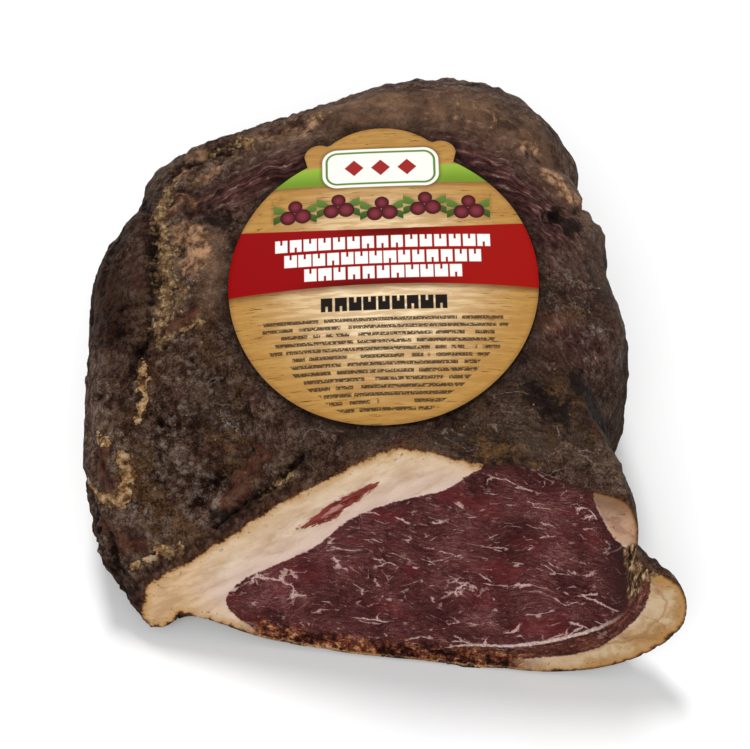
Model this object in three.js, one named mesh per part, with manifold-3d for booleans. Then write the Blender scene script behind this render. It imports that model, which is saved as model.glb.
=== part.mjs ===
// Smoked mutton ham: a boned leg lying flat, with one smooth knife cut at the front and a round label on top.
// Millimetres, +Z up. Somebody who faces the cut looks along +Y and has +X on the right.
import * as THREE from "three";
import { ImprovedNoise } from "three/addons/math/ImprovedNoise.js";
import { mergeVertices } from "three/addons/utils/BufferGeometryUtils.js";
import Module from "manifold-3d";

const wasm = await Module();
wasm.setup();

const { degToRad, lerp, smoothstep } = THREE.MathUtils;

// Driving dimensions of the meat
const LENGTH = 187; // from the line x = 0, y = 0 under the cut to the back end
const CUT_FOOT = 6.3; // y at which the cut plane meets the table, at x = 0
const CUT_LEAN = degToRad(26); // the cut face leans back
const CUT_YAW = degToRad(6); // and its left end lies further back
const FLAT_BELOW = 1.3; // whatever comes this close to the table lies flat on it
const CLOSING = 44; // stretch over which the back end rounds off
const CLOSING_POWER = 2.4; // 2 is an elliptical end, more is blunter
const BACK_BOW = { middle: 18, radius: 22, slope: 0.12 }; // seen from above the back end is bowed

// Outline of the cut on its own plane, counter-clockwise from the left tip.
// Each point: across, up from the foot, and how far back the body keeps the form it has there.
const CUT_OUTLINE = [
  // Fat tip at the left and the arch beside it
  [-75, 13, 8],
  [-73.8, 4.5, 8],
  [-68.5, 1.6, 10],
  [-60, 10, 26],
  [-50, 7, 30],
  // Underside
  [-32, 2.5, 40],
  [-5, 0.8, 40],
  [30, 0, 40],
  [57, 2, 34],
  [73, 8, 24],
  // Fat flap at the right, and the notch above it
  [85, 18, 20],
  [89, 29, 20],
  [84, 39, 20],
  [75.5, 41.5, 22],
  [71.5, 45, 30],
  // Right side
  [71, 56, 40],
  [66.5, 65, 45],
  // Top
  [54, 67.5, 45],
  [36, 74.5, 45],
  [24, 72.5, 45],
  [6, 77, 45],
  [-10, 71, 40],
  // Slope down to the left
  [-21.5, 62, 40],
  [-36, 51, 40],
  [-53.5, 35, 32],
  [-69, 22, 11],
];
// The corners that the cut shares with every cross-section: leftmost, lowest, rightmost and highest
const OUTLINE_CORNERS = [0, 7, 11, 20];
const POINTS_BETWEEN_CORNERS = [24, 18, 24, 28];
const RINGS_TO_CLOSING = 31;
const RINGS_OF_CLOSING = 16;

// Cross-sections behind the cut, from front to back. at is the share of the length, belt the height of the
// widest line, middle where the crest lies, and shoulders the roundness of the upper quarters, the left one
// first: 1 is a straight slope, 2 an ellipse and 3 nearly square.
const STATIONS = [
  { at: 0, left: -85, right: 68, crest: 69, belt: 22, middle: 8, shoulders: [1.75, 2.7] },
  { at: 0.12, left: -88.5, right: 66, crest: 72, belt: 26, middle: 8, shoulders: [2, 2.7] },
  { at: 0.25, left: -90, right: 67.5, crest: 74, belt: 30, middle: 8, shoulders: [2.3, 2.7] },
  { at: 0.4, left: -91, right: 74.5, crest: 76, belt: 33, middle: 8, shoulders: [2.5, 2.7] },
  { at: 0.55, left: -89.5, right: 70.5, crest: 78, belt: 34, middle: 10, shoulders: [2.5, 2.7] },
  { at: 0.7, left: -81, right: 66, crest: 78.5, belt: 34, middle: 13, shoulders: [2.3, 2.5] },
  { at: 0.85, left: -81, right: 62, crest: 77, belt: 32, middle: 17, shoulders: [2, 2.3] },
  { at: 1, left: -87, right: 68, crest: 75, belt: 32, middle: 17, shoulders: [1.9, 2.2] },
];
const UNDERSIDE = 3.2; // roundness of both lower quarters

// Relief of the crust, in mm out of the surface, placed in plan
const SEAM = {
  path: [[-20, 153], [-42, 147], [-60, 136], [-65, 110], [-67, 88], [-74, 50]],
  width: 5,
  height: -2.4,
};
const CREASE = { path: [[76, 146], [62, 147], [49, 143]], width: 4.5, height: -4.5 };
const FRONT_FOLD = { path: [[-28, 50], [-45, 42], [-66, 44]], width: 4.5, height: -1.8 };
const SWELLING = { path: [[30, 162], [48, 156]], width: 13, height: 1.5 };
const SIDE_LOBE = { path: [[-88, 112], [-84, 128]], width: 11, height: 1.5 };
const BACK_HOLLOW = { path: [[-44, 168], [-20, 176]], width: 15, height: -4 };
const FLANK_DENTS = [
  { path: [[70, 110], [76, 107]], width: 6, height: -2.6 },
  { path: [[70, 63], [76, 61]], width: 7, height: -1.6 },
];
const RELIEF_SHAPES = [SEAM, CREASE, FRONT_FOLD, SWELLING, SIDE_LOBE, BACK_HOLLOW, ...FLANK_DENTS];
const LUMPS = { size: 27, height: 1.9 }; // broad unevenness of the dried meat
const KNOBS = { size: 10, height: 0.8 }; // and the smaller crags on it
// Where the relief begins and where it is full: behind the cut, over the table, and outside the label for the
// unevenness; the last one is the upward part of the surface's normal.
const FADES = { cut: [0.5, 9], table: [1, 9], label: [-3, 6], upward: [-0.3, 0.2] };

// Narrow cleft that opens at the notch and runs down between muscle and fat, on the cut plane
const CLEFT = [[73.2, 44], [71.2, 35.5], [67.2, 29.5], [69.6, 36.5], [71.6, 44]];
const CLEFT_DEPTH = 6;

// Driving dimensions of the label
const LABEL_RADIUS = 46;
const LABEL_CENTRE = new THREE.Vector2(-0.6, 94.3);
const LABEL_TURN = degToRad(1.2);
const LABEL_THICKNESS = 0.5;
const LABEL_GAP = 0.45;
const LABEL_SPOKES = 144;
const LABEL_RINGS = 6;
// The label is the union of these discs round its centre: the sheet, its crown and the crown's two shoulders
const LABEL_DISCS = [
  { x: 0, y: 0, radius: LABEL_RADIUS },
  { x: 0, y: 30.8, radius: 23 },
  { x: -18.5, y: 43.8, radius: 4.6 },
  { x: 18.5, y: 43.8, radius: 4.6 },
];

// The meat under the label is a broad plateau: its height in the middle, its slopes to the back and to the
// right, the radius of its dome, and the strip outside the label's edge in which it ends
const SEAT = { height: 73.5, rise: 0.13, roll: 0.03, dome: 420, edge: [1, 14] };

const COLOURS = { crust: 0x4d3c31, paper: 0xcaa56c };

const ACROSS = new THREE.Vector3(Math.cos(CUT_YAW), -Math.sin(CUT_YAW), 0);
const CUT_NORMAL = new THREE.Vector3(
  -Math.sin(CUT_YAW) * Math.cos(CUT_LEAN),
  -Math.cos(CUT_YAW) * Math.cos(CUT_LEAN),
  Math.sin(CUT_LEAN),
);
const UP_CUT = new THREE.Vector3().crossVectors(CUT_NORMAL, ACROSS);
const CUT_ORIGIN = new THREE.Vector3(0, CUT_FOOT, 0);

// y of the cut plane at a given x and z
function cutDepth(x, z) {
  return CUT_FOOT - x * Math.tan(CUT_YAW) + (z * Math.tan(CUT_LEAN)) / Math.cos(CUT_YAW);
}

// y of the back end at a given x
function backEnd(x) {
  const { middle, radius, slope } = BACK_BOW;
  return LENGTH - slope * (Math.hypot(x - middle, radius) - radius);
}

function onCut(across, up) {
  return CUT_ORIGIN.clone().addScaledVector(ACROSS, across).addScaledVector(UP_CUT, up);
}

// Equal steps along a polyline: count points from its start on, without its end.
function evenSteps(points, count) {
  const reached = [0];
  for (let k = 1; k < points.length; k++) reached.push(reached[k - 1] + points[k].distanceTo(points[k - 1]));
  const steps = [];
  let k = 1;
  for (let step = 0; step < count; step++) {
    const along = (reached.at(-1) * step) / count;
    while (reached[k] < along) k++;
    const share = (along - reached[k - 1]) / (reached[k] - reached[k - 1]);
    steps.push(points[k - 1].clone().lerp(points[k], share));
  }
  return steps;
}

// A closed ring from its four quarters. quarterPoint(quarter, share) gives a point of one of them.
function ringOfQuarters(quarterPoint) {
  const fine = 60;
  return POINTS_BETWEEN_CORNERS.flatMap((count, quarter) => {
    const quarterLine = [];
    for (let k = 0; k <= fine; k++) quarterLine.push(quarterPoint(quarter, k / fine));
    return evenSteps(quarterLine, count);
  });
}

// The ring of the cut: x and z of its points, and their reach to the back.
function cutRing() {
  const curve = new THREE.CatmullRomCurve3(
    CUT_OUTLINE.map(([across, up, reach]) => {
      const p = onCut(across, up);
      return new THREE.Vector3(p.x, p.z, reach);
    }),
    true,
    "centripetal",
  );
  return ringOfQuarters((quarter, share) => {
    const from = OUTLINE_CORNERS[quarter];
    const to = quarter < 3 ? OUTLINE_CORNERS[quarter + 1] : CUT_OUTLINE.length;
    return curve.getPoint((lerp(from, to, share) / CUT_OUTLINE.length) % 1);
  });
}

const stationValues = STATIONS.map((s) => [s.left, s.right, s.crest, s.belt, s.middle, ...s.shoulders]);
const rails = new THREE.CubicInterpolant(
  STATIONS.map((s) => s.at),
  stationValues.flat(),
  stationValues[0].length,
);

// The ring of a cross-section at a share of the length, shrunk to a point as closed goes from 1 to 0.
function bodyRing(at, closed) {
  const [left, right, crest, belt, middle, leftShoulder, rightShoulder] = rails.evaluate(at);
  return ringOfQuarters((quarter, share) => {
    const angle = ((quarter + share) * Math.PI) / 2 + Math.PI;
    const c = Math.cos(angle);
    const s = Math.sin(angle);
    const power = s < 0 ? UNDERSIDE : c < 0 ? leftShoulder : rightShoulder;
    const width = c < 0 ? middle - left : right - middle;
    const height = s < 0 ? belt : crest - belt;
    return new THREE.Vector3(
      middle + Math.sign(c) * width * closed * Math.abs(c) ** (2 / power),
      belt + Math.sign(s) * height * closed * Math.abs(s) ** (2 / power),
      0,
    );
  });
}

// Share of the length and closing factor of each ring behind the cut.
function ringPlaces() {
  const closingStart = 1 - CLOSING / (LENGTH - cutDepth(0, STATIONS[0].belt));
  const places = [];
  for (let k = 1; k <= RINGS_TO_CLOSING; k++) places.push([(closingStart * k) / RINGS_TO_CLOSING, 1]);
  for (let k = 1; k < RINGS_OF_CLOSING; k++) {
    const angle = (k / RINGS_OF_CLOSING) * (Math.PI / 2);
    const share = Math.sin(angle) ** (2 / CLOSING_POWER);
    places.push([lerp(closingStart, 1, share), Math.cos(angle) ** (2 / CLOSING_POWER)]);
  }
  return places;
}

// The rings of the bare form, from the cut to the last one before the back end's point.
function bareRings() {
  const cut = cutRing();
  const rings = [cut.map(({ x, y: z }) => new THREE.Vector3(x, cutDepth(x, z), z))];
  for (const [at, closed] of ringPlaces()) {
    const body = bodyRing(at, closed);
    rings.push(
      body.map((section, i) => {
        const behindCut = at * (LENGTH - cutDepth(cut[i].x, cut[i].y));
        const likeBody = smoothstep(behindCut, 0, cut[i].z);
        const x = lerp(cut[i].x, section.x, likeBody);
        const bareZ = lerp(cut[i].y, section.y, likeBody);
        const z = bareZ < FLAT_BELOW ? 0 : bareZ;
        return new THREE.Vector3(x, lerp(cutDepth(x, z), backEnd(x), at), z);
      }),
    );
  }
  return rings;
}

// Distance in plan from a point to the nearest stretch of a path.
function distanceToPath(point, path) {
  const here = new THREE.Vector3(point.x, point.y, 0);
  const nearest = new THREE.Vector3();
  let least = Infinity;
  for (let k = 1; k < path.length; k++) {
    new THREE.Line3(
      new THREE.Vector3(...path[k - 1], 0),
      new THREE.Vector3(...path[k], 0),
    ).closestPointToPoint(here, true, nearest);
    least = Math.min(least, nearest.distanceTo(here));
  }
  return least;
}

// How far the label's edge lies from its centre, in a direction given in its own turned axes.
function labelReach(direction) {
  let reach = 0;
  for (const { x, y, radius } of LABEL_DISCS) {
    const along = x * Math.cos(direction) + y * Math.sin(direction);
    const half = radius ** 2 - (x ** 2 + y ** 2 - along ** 2);
    if (half > 0) reach = Math.max(reach, along + Math.sqrt(half));
  }
  return reach;
}

// How far a point lies outside the label's edge in plan; negative under the label.
function outsideLabel(point) {
  const fromCentre = new THREE.Vector2(point.x, point.y).sub(LABEL_CENTRE);
  return fromCentre.length() - labelReach(fromCentre.angle() - LABEL_TURN);
}

// How far the plateau under the label lies above a point of the bare top.
function seatAbove(point) {
  const dx = point.x - LABEL_CENTRE.x;
  const dy = point.y - LABEL_CENTRE.y;
  const seat = SEAT.height + SEAT.roll * dx + SEAT.rise * dy - (dx ** 2 + dy ** 2) / (2 * SEAT.dome);
  return (seat - point.z) * (1 - smoothstep(outsideLabel(point), ...SEAT.edge));
}

const noise = new ImprovedNoise();

function unevenness(point, { size, height }) {
  return height * noise.noise(point.x / size, point.y / size, point.z / size);
}

// Height of the surface over the bare form: none at the cut and at the table, and smooth under the label.
function relief(point, normal) {
  const behindCut = -CUT_NORMAL.dot(point.clone().sub(CUT_ORIGIN));
  const free = smoothstep(behindCut, ...FADES.cut) * smoothstep(point.z, ...FADES.table);
  const shapes = RELIEF_SHAPES.reduce(
    (sum, { path, width, height }) => sum + height * Math.exp(-((distanceToPath(point, path) / width) ** 2)),
    0,
  );
  const facesUp = smoothstep(normal.z, ...FADES.upward);
  const bare = normal.z > 0 ? smoothstep(outsideLabel(point), ...FADES.label) : 1;
  const rough = unevenness(point, LUMPS) + unevenness(point, KNOBS);
  return free * (facesUp * (shapes + normal.z * seatAbove(point)) + bare * rough);
}

// The closed mesh of the meat: the rings, the flat cut in front and a fan to a point at the back.
function meatGeometry() {
  const bare = bareRings();
  const count = bare[0].length;
  const pole = new THREE.Vector3(STATIONS.at(-1).middle, LENGTH, STATIONS.at(-1).belt);
  const rings = bare.map((ring, j) =>
    ring.map((point, i) => {
      if (j === 0 || point.z === 0) return point;
      const forward = (bare[j + 1] ? bare[j + 1][i] : pole).clone().sub(bare[j - 1][i]);
      const around = ring[(i + 1) % count].clone().sub(ring[(i + count - 1) % count]);
      const normal = forward.cross(around).normalize();
      const raised = point.clone().addScaledVector(normal, relief(point, normal));
      raised.z = Math.max(raised.z, 0);
      return raised;
    }),
  );
  const faces = [];
  for (let j = 0; j < rings.length; j++) {
    for (let i = 0; i < count; i++) {
      const here = j * count + i;
      const next = j * count + ((i + 1) % count);
      if (j + 1 < rings.length) faces.push(here, here + count, next, here + count, next + count, next);
      else faces.push(here, rings.length * count, next);
    }
  }
  const contour = rings[0].map((point) => new THREE.Vector2(point.dot(ACROSS), point.dot(UP_CUT)));
  faces.push(...THREE.ShapeUtils.triangulateShape(contour, []).flat());
  return new THREE.BufferGeometry().setFromPoints([...rings.flat(), pole]).setIndex(faces);
}

function solidFrom(geometry) {
  const bare = new THREE.BufferGeometry().setAttribute("position", geometry.getAttribute("position"));
  bare.setIndex(geometry.index);
  const merged = mergeVertices(bare, 1e-4);
  return new wasm.Manifold(
    new wasm.Mesh({
      numProp: 3,
      vertProperties: merged.attributes.position.array,
      triVerts: new Uint32Array(merged.index.array),
    }),
  );
}

function geometryFrom(solid) {
  const { vertProperties, triVerts } = solid.getMesh();
  return new THREE.BufferGeometry()
    .setAttribute("position", new THREE.BufferAttribute(vertProperties, 3))
    .setIndex(new THREE.BufferAttribute(triVerts, 1));
}

// The cleft as a solid that starts a little in front of the cut.
function cleftGeometry() {
  const clearance = 1;
  const shape = new THREE.Shape(CLEFT.map(([across, up]) => new THREE.Vector2(across, up)));
  return new THREE.ExtrudeGeometry(shape, { depth: CLEFT_DEPTH + clearance, bevelEnabled: false })
    .translate(0, 0, -CLEFT_DEPTH)
    .applyMatrix4(new THREE.Matrix4().makeBasis(ACROSS, UP_CUT, CUT_NORMAL))
    .translate(...CUT_ORIGIN);
}

function makeMeat() {
  const meat = solidFrom(meatGeometry()).subtract(solidFrom(cleftGeometry()));
  const mesh = new THREE.Mesh(
    geometryFrom(meat),
    new THREE.MeshStandardMaterial({ color: COLOURS.crust, roughness: 0.85, metalness: 0 }),
  );
  mesh.name = "ham";
  return mesh;
}

// The label: two faces over the same polar grid, and an edge between them, laid on the meat.
function makeLabel(meat) {
  const down = new THREE.Vector3(0, 0, -1);
  const above = 2 * STATIONS.at(-1).crest;
  const topOfMeat = (x, y) => {
    const ray = new THREE.Raycaster(new THREE.Vector3(x, y, above), down);
    return ray.intersectObject(meat)[0].point.z;
  };
  const grid = [[0, 0]];
  for (let ring = 1; ring <= LABEL_RINGS; ring++) {
    for (let spoke = 0; spoke < LABEL_SPOKES; spoke++) {
      const direction = (spoke / LABEL_SPOKES) * 2 * Math.PI;
      const reach = (labelReach(direction) * ring) / LABEL_RINGS;
      grid.push([reach * Math.cos(direction + LABEL_TURN), reach * Math.sin(direction + LABEL_TURN)]);
    }
  }
  const lower = grid.map(([dx, dy]) => {
    const x = LABEL_CENTRE.x + dx;
    const y = LABEL_CENTRE.y + dy;
    return new THREE.Vector3(x, y, topOfMeat(x, y) + LABEL_GAP);
  });
  const upper = lower.map((p) => new THREE.Vector3(p.x, p.y, p.z + LABEL_THICKNESS));
  const top = lower.length;
  const faces = [];
  const bothFaces = (a, b, c) => faces.push(a, c, b, top + a, top + b, top + c);
  for (let spoke = 0; spoke < LABEL_SPOKES; spoke++) {
    const next = (spoke + 1) % LABEL_SPOKES;
    bothFaces(0, 1 + spoke, 1 + next);
    for (let ring = 1; ring < LABEL_RINGS; ring++) {
      const inner = 1 + (ring - 1) * LABEL_SPOKES;
      const outer = inner + LABEL_SPOKES;
      bothFaces(inner + spoke, outer + spoke, outer + next);
      bothFaces(inner + spoke, outer + next, inner + next);
    }
    const rim = 1 + (LABEL_RINGS - 1) * LABEL_SPOKES;
    const a = rim + spoke;
    const b = rim + next;
    faces.push(a, b, top + b, a, top + b, top + a);
  }
  const mesh = new THREE.Mesh(
    new THREE.BufferGeometry().setFromPoints([...lower, ...upper]).setIndex(faces),
    new THREE.MeshStandardMaterial({ color: COLOURS.paper, roughness: 0.5, metalness: 0 }),
  );
  mesh.name = "label";
  return mesh;
}

const meat = makeMeat();
const label = makeLabel(meat);

// The origin is on the table, under the middle of the whole.
const whole = new THREE.Group();
whole.add(meat, label);
const centre = new THREE.Box3().setFromObject(whole).getCenter(new THREE.Vector3());
for (const mesh of whole.children) {
  mesh.position.set(-Math.round(centre.x * 10) / 10, -Math.round(centre.y * 10) / 10, 0);
  mesh.geometry.computeVertexNormals();
}

export default whole;
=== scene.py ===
"""Looks of a smoked mutton ham that lies on a pale floor, with a round paper label on top.

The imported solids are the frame. Blender works in metres; sizes and places below are in millimetres, in
the frame of the part: +Z up, the knife cut faces -Y, and +X is on the right of somebody who faces it.
"""

import itertools
import math

import bmesh
import bpy
import numpy as np
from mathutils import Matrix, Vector
from mathutils.bvhtree import BVHTree
from mathutils.kdtree import KDTree


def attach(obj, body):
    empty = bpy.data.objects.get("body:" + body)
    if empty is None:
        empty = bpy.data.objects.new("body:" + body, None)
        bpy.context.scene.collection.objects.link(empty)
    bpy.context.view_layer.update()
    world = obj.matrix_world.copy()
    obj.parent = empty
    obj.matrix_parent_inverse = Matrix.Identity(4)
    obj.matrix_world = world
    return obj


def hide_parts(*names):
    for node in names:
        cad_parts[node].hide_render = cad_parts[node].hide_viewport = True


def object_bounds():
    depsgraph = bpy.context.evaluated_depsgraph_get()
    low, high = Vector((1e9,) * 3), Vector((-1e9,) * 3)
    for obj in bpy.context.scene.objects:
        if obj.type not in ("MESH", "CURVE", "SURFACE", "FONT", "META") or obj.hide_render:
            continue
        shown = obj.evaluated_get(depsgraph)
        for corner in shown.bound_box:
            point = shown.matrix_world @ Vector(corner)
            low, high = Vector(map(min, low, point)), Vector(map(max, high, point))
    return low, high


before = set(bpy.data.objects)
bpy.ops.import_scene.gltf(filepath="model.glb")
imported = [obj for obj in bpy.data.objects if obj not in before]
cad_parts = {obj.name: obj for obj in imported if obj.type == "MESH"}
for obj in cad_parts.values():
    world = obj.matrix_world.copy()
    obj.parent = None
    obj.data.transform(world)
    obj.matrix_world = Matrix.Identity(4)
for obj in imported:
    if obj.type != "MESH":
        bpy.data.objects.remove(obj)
cad_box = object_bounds()

MM = 0.001

# The knife cut: its foot on the table, how far it leans back and how far it is turned, seen from above
CUT_FOOT = np.array([1.0, -87.8, 0.0])
CUT_LEAN = math.radians(26)
CUT_YAW = math.radians(6)
ACROSS = np.array([math.cos(CUT_YAW), -math.sin(CUT_YAW), 0.0])
AHEAD = np.array([-math.sin(CUT_YAW), -math.cos(CUT_YAW), 0.0])
OUT_OF_CUT = AHEAD * math.cos(CUT_LEAN) + [0, 0, math.sin(CUT_LEAN)]
UP_CUT = np.cross(OUT_OF_CUT, ACROSS)

# Regions of the cut, across and up from its foot. Whatever they leave over is fat. The tail is the lean
# with the thin muscle that curls round its lower right side.
LEAN = [
    (-49.6, 17.0), (-46.5, 11.2), (-40.9, 8.0), (-37.5, 3.4), (-31, -3), (2, -3), (5, 2.4), (11.3, 3.9),
    (22.1, 8.6), (30, 9.2), (39.6, 10.4), (49.7, 13.6), (59.7, 18), (65.7, 22), (69.4, 26.6), (71, 32),
    (70.6, 38), (68.6, 44), (68.2, 48.4), (65.2, 50.4), (62.1, 54), (59.1, 59.8), (56.6, 64.7), (56, 76),
    (27, 80), (24.6, 71.4), (20.5, 69.2), (16.9, 64.8), (12.5, 62), (4, 59), (-2.4, 56.4), (-9.9, 52),
    (-14.8, 48.1), (-18.4, 43.4), (-23.3, 38.2), (-29.8, 33.9), (-36.4, 29.6), (-44.2, 24.6),
]
TAIL = [
    (-30, 40), (-30, -3), (4, -3), (11.4, 1.2), (25.4, 3.6), (37.4, 4.4), (47.7, 6.3), (56.6, 8.6),
    (62.8, 11.7), (67.8, 16.3), (71.7, 21.4), (75, 26.8), (76.4, 34.6), (75.4, 40.6), (72.4, 43), (66, 44),
    (30, 60),
]
STREAK = [
    (-30, 44), (-25.9, 44.3), (-18.2, 48.2), (-12, 54.4), (-3, 64), (-7.4, 63.2), (-14.6, 58.4),
    (-20.4, 54), (-24, 48.8),
]
WEDGE = [(56.1, 64.7), (59.1, 59.8), (62.1, 54), (65.6, 49.9), (75, 47), (76, 70), (56, 72)]
NOTCH = [(66.6, 51), (69, 40), (70.2, 30), (72.4, 30), (74, 38), (80, 41), (80, 50)]
REGIONS = {"lean": LEAN, "tail": TAIL, "streak": STREAK, "wedge": WEDGE, "notch": NOTCH}

# Furrows and ridges of the crust that are finer than the solid shows: path, half width and height
FOLDS = [
    ([(-75, 45, 52), (-71, 33, 63), (-69, 20, 64), (-68, 7, 63), (-69, -2, 60), (-71, -14, 57)], 2.0, -1.4),
    ([(-71, -14, 57), (-75, -21, 54), (-79, -24, 51), (-86, -22, 44)], 2.2, -1.3),
    ([(-62, 42, 63), (-60, 34, 65), (-57, 22, 69), (-54, 11, 70)], 3.4, 1.2),
    ([(-56, 6, 68), (-60, -3, 65), (-61, -12, 62)], 2.8, 1.2),
    ([(-64, 54, 56), (-57, 58, 58), (-48, 60, 63), (-38, 58, 67)], 3.4, 1.3),
    ([(-65, 50, 60), (-57, 53, 63), (-50, 54, 66), (-41, 51, 68)], 2.2, -1.8),
    ([(-57, 46, 64), (-51, 48, 66), (-43, 46, 69)], 2.8, 1.2),
    ([(-55, 40, 66), (-50, 36, 70), (-52, 28, 70)], 2.4, -1.3),
    ([(-38, 64, 64), (-29, 66, 67), (-20, 66, 71)], 3.6, 1.0),
    ([(-81, 29, 56), (-84, 20, 55), (-86, 11, 52)], 3.2, -1.3),
    ([(-73, 20, 63), (-73, 8, 62), (-74, -2, 59)], 3.6, 1.4),
    ([(-81, -2, 54), (-84, -11, 50)], 3.0, 1.0),
    ([(-87, -46, 28), (-83, -56, 30), (-80, -62, 24), (-78, -68, 17)], 2.0, -1.7),
    ([(-81, -48, 39), (-77, -55, 33), (-71, -60, 29)], 2.4, 1.2),
    ([(-89, -28, 34), (-85, -38, 40), (-82, -47, 38)], 2.2, -1.4),
    ([(-53, -58, 33), (-42, -53, 41), (-35, -49, 48), (-25, -49, 59), (-15, -46, 64)], 2.6, 1.7),
    ([(-50, -60, 34), (-39, -57, 42), (-31, -55, 49), (-22, -51, 57)], 1.7, -2.0),
    ([(-57, -54, 34), (-47, -49, 42), (-38, -44, 50)], 1.9, -1.6),
    ([(-53, -32, 57), (-46, -36, 54), (-39, -41, 53), (-28, -46, 58)], 2.8, 0.9),
    ([(-68, -37, 49), (-61, -42, 47), (-54, -47, 43)], 2.6, 0.9),
    ([(-83, -60, 22), (-80, -68, 14), (-76, -76, 8)], 2.0, -1.5),
    ([(50, 23, 73), (55, 26, 71), (59, 30, 68), (62, 36, 61), (63, 42, 55), (64, 46, 46)], 2.6, -2.2),
    ([(58, 48, 61), (60, 55, 51), (60, 62, 45)], 5.0, 1.2),
    ([(62, 24, 65), (66, 30, 57), (68, 33, 50)], 3.6, 1.4),
    ([(49, 20, 73), (53, 12, 71), (56, -1, 69), (58, -14, 66)], 3.0, -0.7),
    ([(66, -30, 46), (71, -30, 34)], 2.4, -1.0),
    ([(41, -16, 70), (52, -18, 67), (65, -16, 60)], 2.2, -0.9),
    ([(37, -24, 69), (49, -27, 66), (62, -24, 58)], 1.8, -0.6),
    ([(46, -36, 66), (52, -39, 64)], 3.0, -1.0),
    ([(-72, 58, 48), (-75, 52, 47), (-77, 45, 46)], 5.0, -1.1),
    ([(-88, 9, 42), (-89, -1, 39)], 4.0, -1.2),
    ([(-88, -13, 36), (-89, -24, 31), (-88, -33, 29)], 8.0, 0.9),
]

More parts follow.
